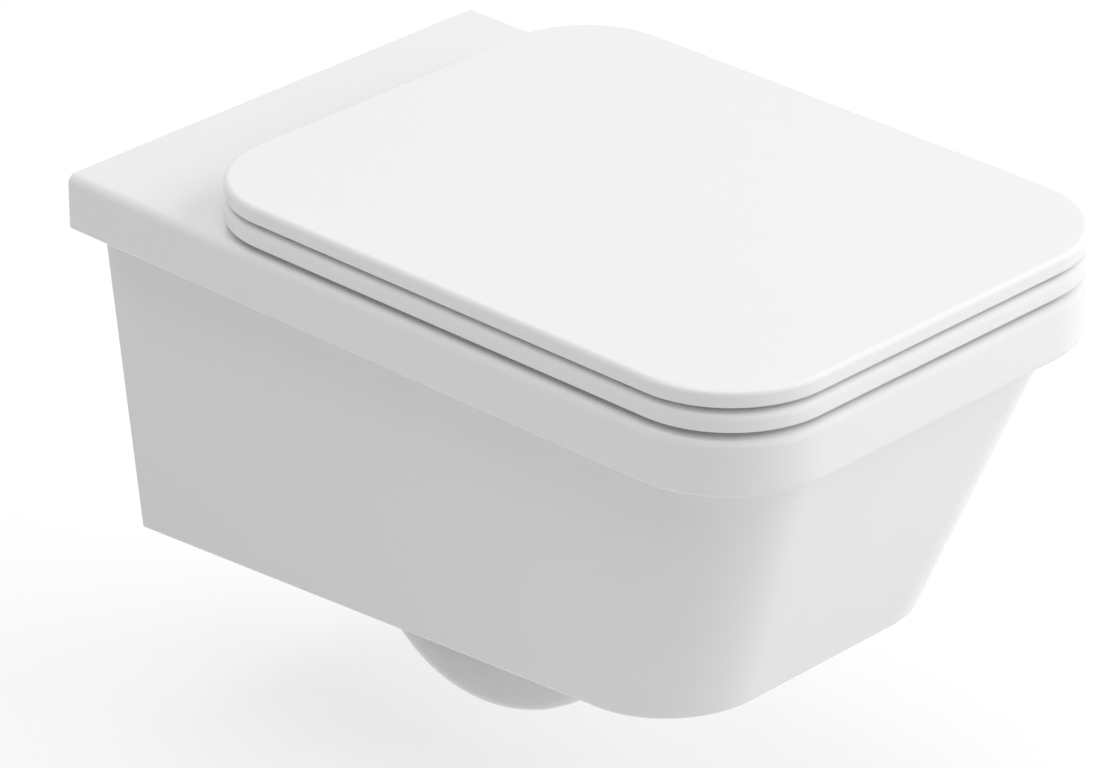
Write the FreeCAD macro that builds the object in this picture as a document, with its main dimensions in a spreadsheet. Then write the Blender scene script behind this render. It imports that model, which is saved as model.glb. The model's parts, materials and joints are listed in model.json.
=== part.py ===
"""Wall hung toilet: ceramic pan, soft-close seat and lid, hinges and wall fixings.

Millimetres. The origin lies on the wall face, midway between the two fixing holes.
+X is the right-hand side of someone facing the wall, +Z is up and the pan reaches out along -Y.
A "depth" is a distance out from the wall and a "drop" is a distance down from the deck.
"""
import FreeCAD, Part
import math
import os
import Sketcher

# Driving dimensions
SIZES = {
    # Heights from the fixing holes
    "deck_height": 80,
    "inlet_height": 35,
    "outlet_drop": 100,
    # Rim band
    "rim_half_width": 180,
    "rim_depth": 560,
    "rim_height": 38,
    "rim_corner": 75,
    "rim_top_round": 6,
    "rim_low_round": 4,
    "mouth_round": 5,
    # Tapered body: from under the rim down to the base level, cut off by a plane that rises to the front
    "ledge_side": 28,
    "ledge_front": 14,
    "body_corner": 54,
    "side_taper": 25,
    "front_taper": 86.5,
    "base_corner": 69,
    "base_drop": 270,
    "base_slope": 4.1,
    "base_round": 5,
    "ledge_round": 6,
    # Ceramic walls
    "deck_wall": 14,
    "side_wall": 12,
    "back_wall": 14,
    "bowl_wall": 10,
    # Trapway
    "trap_radius": 51,
    "trap_bore": 40,
    "trap_bend": 57,
    "trap_bend_depth": 205,
    "trap_bend_drop": 255,
    "outlet_bend": 60,
    "outlet_inset": 6,
    "back_opening": 74,
    # Flush inlet
    "inlet_bore": 27.5,
    "inlet_wall": 9,
    "seal_bore": 22.5,
    "seal_length": 25,
    "seal_inset": 2,
    "seal_clearance": 0.2,
    "spreader_wall": 3,
    "spreader_length": 34,
    "spreader_clearance": 0.3,
    "spreader_half_width": 40,
    "spreader_half_height": 26,
    "spreader_gap": 9,
    "spreader_rib": 6,
    "spreader_rib_offset": 0.75,
    "spreader_corner": 10,
    # Wall fixings
    "fixing_half_spacing": 90,
    "fixing_hole": 10,
    "fixing_sleeve_clearance": 0.3,
    "fixing_bore": 6.5,
    "fixing_flange": 15,
    "fixing_flange_thickness": 3,
    "fixing_washer": 14,
    "fixing_washer_thickness": 2.5,
    "fixing_nut_flats": 19,
    "fixing_nut_thickness": 10,
    "fixing_nut_bore": 6.1,
    # Outline shared by the seat and the lid
    "cover_half_width": 178.5,
    "cover_rear": 100,
    "cover_front": 560,
    "cover_front_corner": 72,
    "cover_rear_corner": 65,
    # Seat ring
    "seat_rear": 115,
    "seat_lift": 4,
    "seat_thickness": 13,
    "seat_top_round": 5,
    "seat_low_round": 3,
    "seat_hole_half_width": 107,
    "seat_hole_rear": 215,
    "seat_hole_front": 497,
    "seat_hole_front_corner": 90,
    "seat_hole_rear_corner": 75,
    "seat_lug_root": 16,
    "seat_buffer": 7,
    "seat_buffer_half_spacing": 150,
    "seat_buffer_rear": 200,
    "seat_buffer_front": 460,
    "buffer_round": 1,
    # Lid
    "lid_lift": 3.5,
    "lid_thickness": 11,
    "lid_skin": 3,
    "lid_border": 16,
    "lid_top_round": 3.5,
    "lid_low_round": 1.5,
    "lid_buffer": 5,
    "lid_buffer_rear": 190,
    "lid_buffer_front": 470,
    # Hinges
    "hinge_half_spacing": 77.5,
    "axis_depth": 112,
    "axis_height": 21,
    "barrel_radius": 6.5,
    "barrel_length": 42,
    "lug_length": 14,
    "end_clearance": 0.3,
    "swing_clearance": 1,
    "hinge_cover": 3,
    "foot_clearance": 4,
    "arm_half_height": 6,
    "post_half_width": 10,
    "post_offset": 24,
    "post_round": 3,
    "hinge_round": 1.5,
    "damper_radius": 4.5,
    "damper_length": 29,
    "damper_inset": 1,
    "shaft_radius": 2.5,
    "shaft_flats": 4,
    "shaft_margin": 1,
    "pin_socket": 9.5,
    "press_clearance": 0.02,
    "running_clearance": 0.05,
    # Hinge fastening
    "hinge_foot": 16,
    "hinge_foot_thickness": 3,
    "hinge_foot_round": 1,
    "hinge_hole": 7,
    "bolt_radius": 4,
    "bolt_length": 44,
    "bolt_head": 6.5,
    "bolt_head_height": 5,
    "bolt_socket": 2.9,
    "bolt_socket_depth": 3,
    "bolt_clearance": 0.2,
    "bolt_head_clearance": 0.5,
    "grip_clearance": 0.3,
    "grip_swell": 9.5,
    "grip_length": 32,
    "hinge_nut_length": 8,
}

# Bowl sections from the mouth down. A land is a distance in from the rim's edge: the upper sections keep
# to the rim, and the lower ones to the trap.
BOWL_SECTIONS = {
    "mouth": {"drop": 0, "side_land": 51, "rear": 169, "front_land": 45, "corner": 82},
    "brow": {"drop": 12, "side_land": 55, "rear": 173, "front_land": 49, "corner": 80},
    "belly": {"drop": 80, "side_land": 60, "rear": 177, "front_land": 60, "corner": 82},
    "flank": {"drop": 150, "half_width": 94, "rear": 193, "front_land": 108, "corner": 76},
    "sump": {"drop": 205, "half_width": 62, "rear": 212, "front": 362, "corner": 56},
    "neck": {"drop": 240, "half_width": 43, "rear": 219, "front": 305, "corner": 42},
}
for section, numbers in BOWL_SECTIONS.items():
    for field, number in numbers.items():
        SIZES[f"bowl_{section}_{field}"] = number

# Places worked out from the driving dimensions
DECK = "size.deck_height"
DECK_UNDERSIDE = f"{DECK} - size.deck_wall"
RIM_UNDERSIDE = f"{DECK} - size.rim_height"
LEDGE_TOP = f"{RIM_UNDERSIDE} + size.side_wall"
BODY_HALF_WIDTH = "size.rim_half_width - size.ledge_side"
BODY_DEPTH = "size.rim_depth - size.ledge_front"
BASE_HALF_WIDTH = f"{BODY_HALF_WIDTH} - size.side_taper"
BASE_DEPTH = f"{BODY_DEPTH} - size.front_taper"
BASE_LEVEL = f"{DECK} - size.base_drop"
BACK_FACE = "size.back_wall"
INLET_RADIUS = "size.inlet_bore + size.inlet_wall"
SEAT_UNDERSIDE = f"{DECK} + size.seat_lift"
SEAT_TOP = f"{SEAT_UNDERSIDE} + size.seat_thickness"
LID_UNDERSIDE = f"{SEAT_TOP} + size.lid_lift"
LID_TOP = f"{LID_UNDERSIDE} + size.lid_thickness"
AXIS = f"{DECK} + size.axis_height"
POST_DEPTH = "size.axis_depth + size.post_offset"
POST_FRONT = f"{POST_DEPTH} + size.post_half_width"
BARREL_NEAR = "size.hinge_half_spacing - size.barrel_length / 2"
BARREL_FAR = "size.hinge_half_spacing + size.barrel_length / 2"
SEAT_LUG_FAR = f"{BARREL_NEAR} - size.end_clearance"
SEAT_LUG_NEAR = f"{SEAT_LUG_FAR} - size.lug_length"
LID_LUG_NEAR = f"{BARREL_FAR} + size.end_clearance"
LID_LUG_FAR = f"{LID_LUG_NEAR} + size.lug_length"
FLANGE_FACE = f"{BACK_FACE} + size.fixing_flange_thickness"
WASHER_FACE = f"{FLANGE_FACE} + size.fixing_washer_thickness"
FOOT_TOP = f"{DECK} + size.hinge_foot_thickness"
BOLT_HOLE = "size.bolt_radius + size.bolt_clearance"
GRIP_RADIUS = "size.hinge_hole - size.grip_clearance"
GRIP_FOOT = f"{DECK} - size.grip_length"
DAMPER_DEPTH = "size.damper_inset + size.damper_length"
SHAFT_TIP = "-(size.end_clearance + size.lug_length - size.shaft_margin)"
SIDES = {"left": -1, "right": 1}
QUARTER_TURN = math.pi / 2
TOLERANCE = 0.01
# Each hinge: side, the piece on its damper and the barrel end of that, the piece on its plain pin and its end
HINGES = (
    ("left", "lid", "far", "seat", "near"),
    ("right", "seat", "near", "lid", "far"),
)

doc = FreeCAD.newDocument("wall_hung_toilet")
sheet = doc.addObject("Spreadsheet::Sheet", "size")
for row, (alias, number) in enumerate(SIZES.items(), start=1):
    sheet.set(f"A{row}", alias)
    sheet.set(f"B{row}", str(number))
    sheet.setAlias(f"B{row}", alias)
doc.recompute()


# Helpers

def value(expression):
    """The number that an expression of the sheet gives."""
    return float(sheet.evalExpression(str(expression)))


def bind(item, expressions):
    """Tie properties of an object to expressions of the sheet."""
    for path, expression in expressions.items():
        item.setExpression(path, str(expression))
    return item


def place(item, x="0", y="0", z="0"):
    return bind(item, {"Placement.Base.x": x, "Placement.Base.y": y, "Placement.Base.z": z})


TURNS = {
    "X": FreeCAD.Rotation(FreeCAD.Vector(0, 1, 0), 90),
    "Y": FreeCAD.Rotation(FreeCAD.Vector(1, 0, 0), -90),
    "Z": FreeCAD.Rotation(),
}


def rod(name, radius, start, length, axis="Z"):
    """Cylinder that leaves the point start along +X, +Y or +Z."""
    item = doc.addObject("Part::Cylinder", name)
    bind(item, {"Radius": radius, "Height": length})
    item.Placement.Rotation = TURNS[axis]
    return place(item, *start)


def block(name, x_range, y_range, z_range):
    """Box between two expressions along each axis."""
    item = doc.addObject("Part::Box", name)
    lengths = {}
    for side, (low, high) in zip(("Length", "Width", "Height"), (x_range, y_range, z_range)):
        lengths[side] = f"({high}) - ({low})"
    bind(item, lengths)
    return place(item, x_range[0], y_range[0], z_range[0])


def depths(near, far):
    """Range along Y between two distances from the wall."""
    return (f"-({far})", f"-({near})")


def across(side, near, far):
    """Range along X between two distances from the middle, on the given side."""
    return (near, far) if side > 0 else (f"-({far})", f"-({near})")


def wall_rod(name, radius, x, z, near, far):
    """Cylinder square to the wall between two depths."""
    start, end = depths(near, far)
    return rod(name, radius, (x, start, z), f"({end}) - ({start})", "Y")


def axis_rod(name, radius, x_range):
    """Cylinder on the hinge axis."""
    low, high = x_range
    return rod(name, radius, (low, "-size.axis_depth", AXIS), f"({high}) - ({low})", "X")


def over_hinge_hole(side, z):
    """Point in line with a hinge hole at the given height."""
    return (f"{side} * size.hinge_half_spacing", f"-({POST_DEPTH})", z)


def hinge_rod(name, side, radius, low, high):
    """Upright cylinder in line with a hinge hole between two heights."""
    return rod(name, radius, over_hinge_hole(side, low), f"({high}) - ({low})")


def fuse(name, items):
    item = doc.addObject("Part::MultiFuse", name)
    item.Shapes = items
    return item


def cut(name, base, tools):
    item = doc.addObject("Part::Cut", name)
    item.Base = base
    item.Tool = tools[0] if len(tools) == 1 else fuse(name + "_tools", tools)
    return item


def group(name, items):
    item = doc.addObject("Part::Compound", name)
    item.Links = items
    return item


def loft(name, sections, ruled=False):
    item = doc.addObject("Part::Loft", name)
    item.Sections = sections
    item.Solid = True
    item.Ruled = ruled
    return item


def prism(name, sketch, height):
    """Straight extrusion of a flat sketch, upward."""
    item = doc.addObject("Part::Extrusion", name)
    item.Base = sketch
    item.DirMode = "Normal"
    item.Solid = True
    return bind(item, {"LengthFwd": height})


def rounded(name, base, rounds):
    """Fillet: rounds is a list of (test of an edge, radius expression)."""
    doc.recompute()
    edges = []
    for number, edge in enumerate(base.Shape.Edges, start=1):
        for wanted, radius in rounds:
            if wanted(edge):
                edges.append((number, value(radius), value(radius)))
                break
    item = doc.addObject("Part::Fillet", name)
    item.Base = base
    item.Edges = edges
    return item


def at_height(z):
    """Test: the edge lies flat at this height and is not on the wall face."""
    level = value(z)

    def test(edge):
        box = edge.BoundBox
        flat = abs(box.ZMin - level) < TOLERANCE and abs(box.ZMax - level) < TOLERANCE
        return flat and box.YMin < -TOLERANCE

    return test


def upright(edge):
    """Test: the edge runs up and down."""
    box = edge.BoundBox
    return box.ZLength > box.XLength + box.YLength


def square_to_wall(edge):
    """Test: the edge runs straight out from the wall."""
    box = edge.BoundBox
    return box.YLength > box.XLength + box.ZLength


def outline(name, half_width, rear, front, front_corner, height, rear_corner=None):
    """Sketch of a rectangle between two depths with rounded corners, even about x = 0.

    Without a rear corner radius the two rear corners are square.
    """
    w, back, face, r = value(half_width), -value(rear), -value(front), value(front_corner)
    q = value(rear_corner) if rear_corner else 0

    def line(x0, y0, x1, y1):
        return Part.LineSegment(FreeCAD.Vector(x0, y0, 0), FreeCAD.Vector(x1, y1, 0))

    def arc(x, y, radius, turn):
        circle = Part.Circle(FreeCAD.Vector(x, y, 0), FreeCAD.Vector(0, 0, 1), radius)
        return Part.ArcOfCircle(circle, turn * QUARTER_TURN, (turn + 1) * QUARTER_TURN)

    sketch = doc.addObject("Sketcher::SketchObject", name)
    loop = {
        "front": line(-w + r, face, w - r, face),
        "front_right": arc(w - r, face + r, r, 3),
        "right": line(w, face + r, w, back - q),
    }
    if rear_corner:
        loop["rear_right"] = arc(w - q, back - q, q, 0)
    loop["rear"] = line(w - q, back, -w + q, back)
    if rear_corner:
        loop["rear_left"] = arc(-w + q, back - q, q, 1)
    loop["left"] = line(-w, back - q, -w, face + r)
    loop["front_left"] = arc(-w + r, face + r, r, 2)
    index = {key: sketch.addGeometry(curve) for key, curve in loop.items()}

    keys = list(loop)
    for key, following in zip(keys, keys[1:] + keys[:1]):
        smooth = "_" in key or "_" in following
        kind = "Tangent" if smooth else "Coincident"
        sketch.addConstraint(Sketcher.Constraint(kind, index[key], 2, index[following], 1))
    for key in ("front", "rear"):
        sketch.addConstraint(Sketcher.Constraint("Horizontal", index[key]))
    for key in ("left", "right"):
        sketch.addConstraint(Sketcher.Constraint("Vertical", index[key]))

    def datum(label, expression, *parts):
        number = sketch.addConstraint(Sketcher.Constraint(*parts, value(expression)))
        sketch.renameConstraint(number, label)
        sketch.setExpression(f"Constraints.{label}", str(expression))

    datum("half_width_right", half_width, "DistanceX", -1, 1, index["right"], 1)
    datum("half_width_left", half_width, "DistanceX", index["left"], 1, -1, 1)
    datum("front_depth", front, "DistanceY", index["front"], 1, -1, 1)
    if back:
        datum("rear_depth", rear, "DistanceY", index["rear"], 1, -1, 1)
    else:
        sketch.addConstraint(Sketcher.Constraint("PointOnObject", index["rear"], 1, -1))
    corners = [("front", front_corner)]
    if rear_corner:
        corners.append(("rear", rear_corner))
    for end, radius in corners:
        datum(f"{end}_corner", radius, "Radius", index[f"{end}_right"])
        sketch.addConstraint(Sketcher.Constraint("Equal", index[f"{end}_right"], index[f"{end}_left"]))
    return place(sketch, z=height)


def slope(sketch):
    """Lean a sketch about the wall's foot so that it rises toward the front."""
    sketch.Placement.Rotation = FreeCAD.Rotation(FreeCAD.Vector(1, 0, 0), -1)
    return bind(sketch, {"Placement.Rotation.Angle": "-size.base_slope"})


nodes = []


def node(item, label):
    """Keep a finished sub-part under the name of its file."""
    item.Label = label
    nodes.append(item)


# Ceramic pan

def trap_path():
    """Centre line of the trapway in the plane x = 0: down, round the bend, up, and out to the wall."""
    radius, turn = value("size.trap_bend"), value("size.outlet_bend")
    bend_y, bend_z = -value("size.trap_bend_depth"), value(f"{DECK} - size.trap_bend_drop")
    outlet_z = -value("size.outlet_drop")
    entry_z = value(f"{DECK} - size.bowl_sump_drop")
    fall_y, rise_y = bend_y - radius, bend_y + radius
    outlet_y = -value("size.outlet_inset")

    def line(y0, z0, y1, z1):
        return Part.LineSegment(FreeCAD.Vector(y0, z0, 0), FreeCAD.Vector(y1, z1, 0))

    def arc(y, z, r, first, last):
        circle = Part.Circle(FreeCAD.Vector(y, z, 0), FreeCAD.Vector(0, 0, 1), r)
        return Part.ArcOfCircle(circle, first * QUARTER_TURN, last * QUARTER_TURN)

    sketch = doc.addObject("Sketcher::SketchObject", "trap_path")
    down = sketch.addGeometry(line(fall_y, entry_z, fall_y, bend_z))
    bend = sketch.addGeometry(arc(bend_y, bend_z, radius, 2, 4))
    up = sketch.addGeometry(line(rise_y, bend_z, rise_y, outlet_z - turn))
    weir = sketch.addGeometry(arc(rise_y + turn, outlet_z - turn, turn, 1, 2))
    out = sketch.addGeometry(line(rise_y + turn, outlet_z, outlet_y, outlet_z))
    for parts in (
        ("Tangent", down, 2, bend, 1),
        ("Tangent", bend, 2, up, 1),
        ("Tangent", up, 2, weir, 2),
        ("Tangent", weir, 1, out, 1),
        ("Vertical", down),
        ("Vertical", up),
        ("Horizontal", out),
    ):
        sketch.addConstraint(Sketcher.Constraint(*parts))
    for label, expression, parts in (
        ("bend_radius", "size.trap_bend", ("Radius", bend)),
        ("weir_radius", "size.outlet_bend", ("Radius", weir)),
        ("bend_depth", "size.trap_bend_depth", ("DistanceX", bend, 3, -1, 1)),
        ("bend_drop", f"size.trap_bend_drop - {DECK}", ("DistanceY", bend, 3, -1, 1)),
        ("entry_drop", f"size.bowl_sump_drop - {DECK}", ("DistanceY", down, 1, -1, 1)),
        ("outlet_end", "size.outlet_inset", ("DistanceX", out, 2, -1, 1)),
        ("outlet_drop", "size.outlet_drop", ("DistanceY", out, 1, -1, 1)),
    ):
        number = sketch.addConstraint(Sketcher.Constraint(*parts, value(expression)))
        sketch.renameConstraint(number, label)
        sketch.setExpression(f"Constraints.{label}", expression)
    sketch.Placement.Rotation = FreeCAD.Rotation(FreeCAD.Vector(1, 1, 1), 120)
    return sketch


def trap_pipe(name, path, radius):
    circle = doc.addObject("Part::Circle", name + "_section")
    bind(circle, {"Radius": radius})
    place(circle, y="-(size.trap_bend_depth + size.trap_bend)", z=f"{DECK} - size.bowl_sump_drop")
    pipe = doc.addObject("Part::Sweep", name)
    pipe.Sections = [circle]
    pipe.Spine = (path, [f"Edge{number + 1}" for number in range(path.GeometryCount)])
    pipe.Solid = True
    return pipe


def bowl_half_width(section):
    """Half the bowl's width at one level."""
    if "side_land" in BOWL_SECTIONS[section]:
        return f"size.rim_half_width - size.bowl_{section}_side_land"
    return f"size.bowl_{section}_half_width"


def bowl_front(section):
    """Depth of the bowl's front at one level."""
    if "front_land" in BOWL_SECTIONS[section]:
        return f"size.rim_depth - size.bowl_{section}_front_land"
    return f"size.bowl_{section}_front"


def bowl_section(section, wall="0", extra_drop="0"):
    """Outline of the bowl at one level, moved outward by a wall thickness."""
    base = f"size.bowl_{section}"
    suffix = "inner" if wall == "0" else "outer"
    return outline(
        f"bowl_{section}_{suffix}",
        f"{bowl_half_width(section)} + {wall}",
        f"{base}_rear - {wall}",
        f"{bowl_front(section)} + {wall}",
        f"{base}_corner + {wall}",
        f"{DECK} - {base}_drop - {extra_drop}",
        f"{base}_corner + {wall}",
    )


def pan_block():
    """Rim band and tapered body as one full block with rounded outside edges."""
    rim_outline = outline("rim_outline", "size.rim_half_width", 0, "size.rim_depth", "size.rim_corner",
                          RIM_UNDERSIDE)
    rim = rounded(
        "rim",
        prism("rim_block", rim_outline, "size.rim_height"),
        [(at_height(DECK), "size.rim_top_round"), (at_height(RIM_UNDERSIDE), "size.rim_low_round")],
    )
    upper = outline("body_upper", BODY_HALF_WIDTH, 0, BODY_DEPTH, "size.body_corner", RIM_UNDERSIDE)
    lower = outline("body_lower", BASE_HALF_WIDTH, 0, BASE_DEPTH, "size.base_corner", BASE_LEVEL)
    taper = loft("body_taper", [upper, lower], ruled=True)
    under_base = outline("under_base_outline", "size.rim_half_width", 0, "size.rim_depth", "size.base_corner",
                         BASE_LEVEL)
    base_cut = prism("under_base", slope(under_base), "size.base_drop")
    base_cut.Reversed = True
    body_block = cut("body_block", taper, [base_cut])

    base_level = value(BASE_LEVEL)
    rise = math.tan(math.radians(value("size.base_slope")))

    def on_base(edge):
        flat = all(abs(vertex.Z - base_level + vertex.Y * rise) < TOLERANCE for vertex in edge.Vertexes)
        return flat and edge.BoundBox.YMin < -TOLERANCE

    body = rounded("body", body_block, [(on_base, "size.base_round")])
    rim_and_body = fuse("rim_and_body", [rim, body])
    underside = at_height(RIM_UNDERSIDE)
    reach = value(BODY_HALF_WIDTH) + TOLERANCE
    front = value(BODY_DEPTH) + TOLERANCE

    def under_rim(edge):
        box = edge.BoundBox
        return underside(edge) and max(-box.XMin, box.XMax) < reach and box.YMin > -front

    return rounded("pan_block", rim_and_body, [(under_rim, "size.ledge_round")])


def slice_of(name, base, near, far, low, high):
    """The part of a shape between two depths and two heights."""
    full_width = ("-size.rim_half_width", "size.rim_half_width")
    item = doc.addObject("Part::Common", name)
    item.Base = block(name + "_region", full_width, depths(near, far), (low, high))
    item.Tool = base
    return item


def ceramic_pan():
    """The castings of the pan, which are joined before firing: they meet face to face."""
    whole = pan_block()
    walls = [bowl_section(section, "size.bowl_wall") for section in list(BOWL_SECTIONS)[1:-1]]
    walls.append(bowl_section("neck", "size.bowl_wall", "size.bowl_wall"))
    bowl_outer = loft("bowl_outer", walls)
    bowl = loft("bowl", [bowl_section(section) for section in BOWL_SECTIONS])
    path = trap_path()
    trap_outer = trap_pipe("trap_outer", path, "size.trap_radius")
    trap_bore = trap_pipe("trap_bore", path, "size.trap_bore")
    inlet_outer = wall_rod("inlet_outer", INLET_RADIUS, 0, "size.inlet_height", "0", "size.bowl_belly_rear")
    inlet_bore = wall_rod("inlet_bore", "size.inlet_bore", 0, "size.inlet_height", "0",
                          "size.bowl_belly_rear + size.bowl_wall")
    hinge_holes, fixing_holes = [], []
    for side_name, side in SIDES.items():
        fixing_x = f"{side} * size.fixing_half_spacing"
        hinge_holes.append(
            hinge_rod(f"hinge_hole_{side_name}", side, "size.hinge_hole", DECK_UNDERSIDE, DECK)
        )
        fixing_holes.append(
            wall_rod(f"fixing_hole_{side_name}", "size.fixing_hole", fixing_x, 0, "0", BACK_FACE)
        )

    channel_outline = outline("rim_channel_outline", "size.rim_half_width - size.side_wall", BACK_FACE,
                              "size.rim_depth - size.side_wall", "size.rim_corner - size.side_wall",
                              LEDGE_TOP)
    channel = prism("rim_channel", channel_outline, "size.rim_height - size.side_wall - size.deck_wall")
    rim_blank = slice_of("rim_blank", whole, "0", "size.rim_depth", LEDGE_TOP, DECK)
    rim_bored = cut("rim_bored", rim_blank, [channel, bowl_outer, bowl, inlet_outer] + hinge_holes)
    deck_edge = at_height(DECK)
    mouth_reach = value(bowl_half_width("mouth")) + TOLERANCE
    mouth_rear = value("size.bowl_mouth_rear") - TOLERANCE

    def round_mouth(edge):
        box = edge.BoundBox
        return deck_edge(edge) and max(-box.XMin, box.XMax) < mouth_reach and box.YMax < -mouth_rear

    node(rounded("rim_casting", rim_bored, [(round_mouth, "size.mouth_round")]), "pan_rim")

    hollow_upper = outline("hollow_upper", f"{BODY_HALF_WIDTH} - size.side_wall", BACK_FACE,
                           f"{BODY_DEPTH} - size.side_wall", "size.body_corner - size.side_wall / 2",
                           LEDGE_TOP)
    hollow_lower = outline("hollow_lower", f"{BASE_HALF_WIDTH} - size.side_wall", BACK_FACE,
                           f"{BASE_DEPTH} - size.side_wall", "size.base_corner - size.side_wall / 2",
                           f"{BASE_LEVEL} - size.base_round")
    hollow = loft("hollow", [hollow_upper, hollow_lower], ruled=True)
    skirt_blank = slice_of("skirt_blank", whole, BACK_FACE, "size.rim_depth", BASE_LEVEL, LEDGE_TOP)
    node(cut("skirt_casting", skirt_blank, [hollow]), "pan_skirt")

    back_blank = slice_of("back_blank", whole, "0", BACK_FACE, BASE_LEVEL, LEDGE_TOP)
    opening = wall_rod("back_opening", "size.back_opening", 0, "-size.outlet_drop", "0", BACK_FACE)
    node(cut("back_casting", back_blank, [opening, inlet_outer] + fixing_holes), "pan_back")
    node(cut("bowl_casting", bowl_outer, [bowl, trap_bore, inlet_bore]), "pan_bowl")
    node(cut("trap_casting", trap_outer, [trap_bore, bowl_outer]), "pan_trapway")
    node(cut("inlet_casting", inlet_outer, [inlet_bore, bowl_outer]), "pan_inlet")


ceramic_pan()


# Flush inlet

def ring_square_to_wall(name, radius, bore, x, z, near, far):
    outer = wall_rod(name + "_outer", radius, x, z, near, far)
    return cut(name, outer, [wall_rod(name + "_bore", bore, x, z, near, far)])


def flush_spreader():
    """Stub in the inlet bore that carries a plate in front of it, open left and right."""
    stub_radius = "size.inlet_bore - size.spreader_clearance"
    stub_bore = f"{stub_radius} - size.spreader_wall"
    stub_end = "size.bowl_belly_rear"
    plate_near = f"{stub_end} + size.spreader_gap"
    plate_far = f"{plate_near} + size.spreader_wall"
    stub = ring_square_to_wall("spreader_stub", stub_radius, stub_bore, 0, "size.inlet_height",
                               f"{stub_end} - size.spreader_length", stub_end)
    plate_low = "size.inlet_height - size.spreader_half_height"
    plate_high = "size.inlet_height + size.spreader_half_height"
    plate_block = block("spreader_plate_block", ("-size.spreader_half_width", "size.spreader_half_width"),
                        depths(plate_near, plate_far), (plate_low, plate_high))
    plate = rounded("spreader_plate", plate_block, [(square_to_wall, "size.spreader_corner")])
    pieces = [stub, plate]
    for rib_name, direction in (("low", -1), ("high", 1)):
        middle = f"size.inlet_height + {direction} * ({stub_bore} + size.spreader_rib_offset)"
        pieces.append(block(f"spreader_rib_{rib_name}", ("-size.spreader_rib", "size.spreader_rib"),
                            depths(f"{stub_end} - size.spreader_length / 2", plate_far),
                            (f"{middle} - size.spreader_wall / 2", f"{middle} + size.spreader_wall / 2")))
    return fuse("spreader", pieces)


node(flush_spreader(), "flush_spreader")
node(
    ring_square_to_wall("seal", "size.inlet_bore - size.seal_clearance", "size.seal_bore", 0,
                        "size.inlet_height", "size.seal_inset", "size.seal_inset + size.seal_length"),
    "inlet_seal",
)


# Wall fixings

def fixing_sleeve(side_name, x):
    outer = "size.fixing_hole - size.fixing_sleeve_clearance"
    tube = wall_rod(f"sleeve_tube_{side_name}", outer, x, 0, "0", BACK_FACE)
    flange = wall_rod(f"sleeve_flange_{side_name}", "size.fixing_flange", x, 0, BACK_FACE, FLANGE_FACE)
    bore = wall_rod(f"sleeve_bore_{side_name}", "size.fixing_bore", x, 0, "0", FLANGE_FACE)
    return cut(f"sleeve_{side_name}", fuse(f"sleeve_outer_{side_name}", [tube, flange]), [bore])


def hex_nut(name, x):
    """Hexagon nut square to the wall, seated on the washer."""
    hexagon = doc.addObject("Part::Prism", name + "_hexagon")
    hexagon.Polygon = 6
    far = f"{WASHER_FACE} + size.fixing_nut_thickness"
    bind(hexagon, {"Circumradius": "size.fixing_nut_flats / sqrt(3)", "Height": "size.fixing_nut_thickness"})
    hexagon.Placement.Rotation = TURNS["Y"]
    place(hexagon, x, f"-({far})", 0)
    return cut(name, hexagon, [wall_rod(name + "_bore", "size.fixing_nut_bore", x, 0, WASHER_FACE, far)])


sleeves, washers, nuts = [], [], []
for side_name, side in SIDES.items():
    fixing_x = f"{side} * size.fixing_half_spacing"
    sleeves.append(fixing_sleeve(side_name, fixing_x))
    washers.append(ring_square_to_wall(f"washer_{side_name}", "size.fixing_washer", "size.fixing_bore",
                                       fixing_x, 0, FLANGE_FACE, WASHER_FACE))
    nuts.append(hex_nut(f"nut_{side_name}", fixing_x))
node(group("sleeves", sleeves), "fixing_sleeves")
node(group("washers", washers), "fixing_washers")
node(group("nuts", nuts), "fixing_nuts")


# Hinges

def barrel_range(side, end, start, stop):
    """Range along X between two distances into the barrel from its near or far end."""
    if end == "near":
        return across(side, f"{BARREL_NEAR} + {start}", f"{BARREL_NEAR} + {stop}")
    return across(side, f"{BARREL_FAR} - ({stop})", f"{BARREL_FAR} - ({start})")


def hinge_body(side_name, side, damper_end, pin_end):
    """Barrel on the axis, an arm forward from it and a post down to the foot disc."""
    post_x = across(side, "size.hinge_half_spacing - size.post_half_width",
                    "size.hinge_half_spacing + size.post_half_width")
    arm_top = f"{AXIS} + size.arm_half_height"
    post_depths = depths(f"{POST_DEPTH} - size.post_half_width", POST_FRONT)
    post = rounded(
        f"post_{side_name}",
        block(f"post_block_{side_name}", post_x, post_depths, (FOOT_TOP, arm_top)),
        [(upright, "size.post_round")],
    )
    arm = block(f"arm_{side_name}", post_x, depths("size.axis_depth", POST_DEPTH),
                (f"{AXIS} - size.arm_half_height", arm_top))
    barrel = axis_rod(f"barrel_{side_name}", "size.barrel_radius", across(side, BARREL_NEAR, BARREL_FAR))
    head_room = hinge_rod(f"head_room_{side_name}", side, "size.bolt_head + size.bolt_head_clearance",
                          FOOT_TOP, f"{FOOT_TOP} + size.bolt_head_height + size.bolt_head_clearance")
    damper_room = axis_rod(f"damper_room_{side_name}", "size.damper_radius + size.press_clearance",
                           barrel_range(side, damper_end, "0", DAMPER_DEPTH))
    pin_room = axis_rod(f"pin_room_{side_name}", "size.shaft_radius + size.press_clearance",
                        barrel_range(side, pin_end, "0", "size.pin_socket"))
    outer = fuse(f"hinge_outer_{side_name}", [post, arm, barrel])
    arm_edge = at_height(arm_top)
    barrel_front = -value("size.axis_depth + size.barrel_radius")

    def top_edge(edge):
        return arm_edge(edge) and edge.BoundBox.YMin < barrel_front

    soft = rounded(f"hinge_soft_{side_name}", outer, [(top_edge, "size.hinge_round")])
    return cut(f"hinge_{side_name}", soft, [head_room, damper_room, pin_room])


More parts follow.
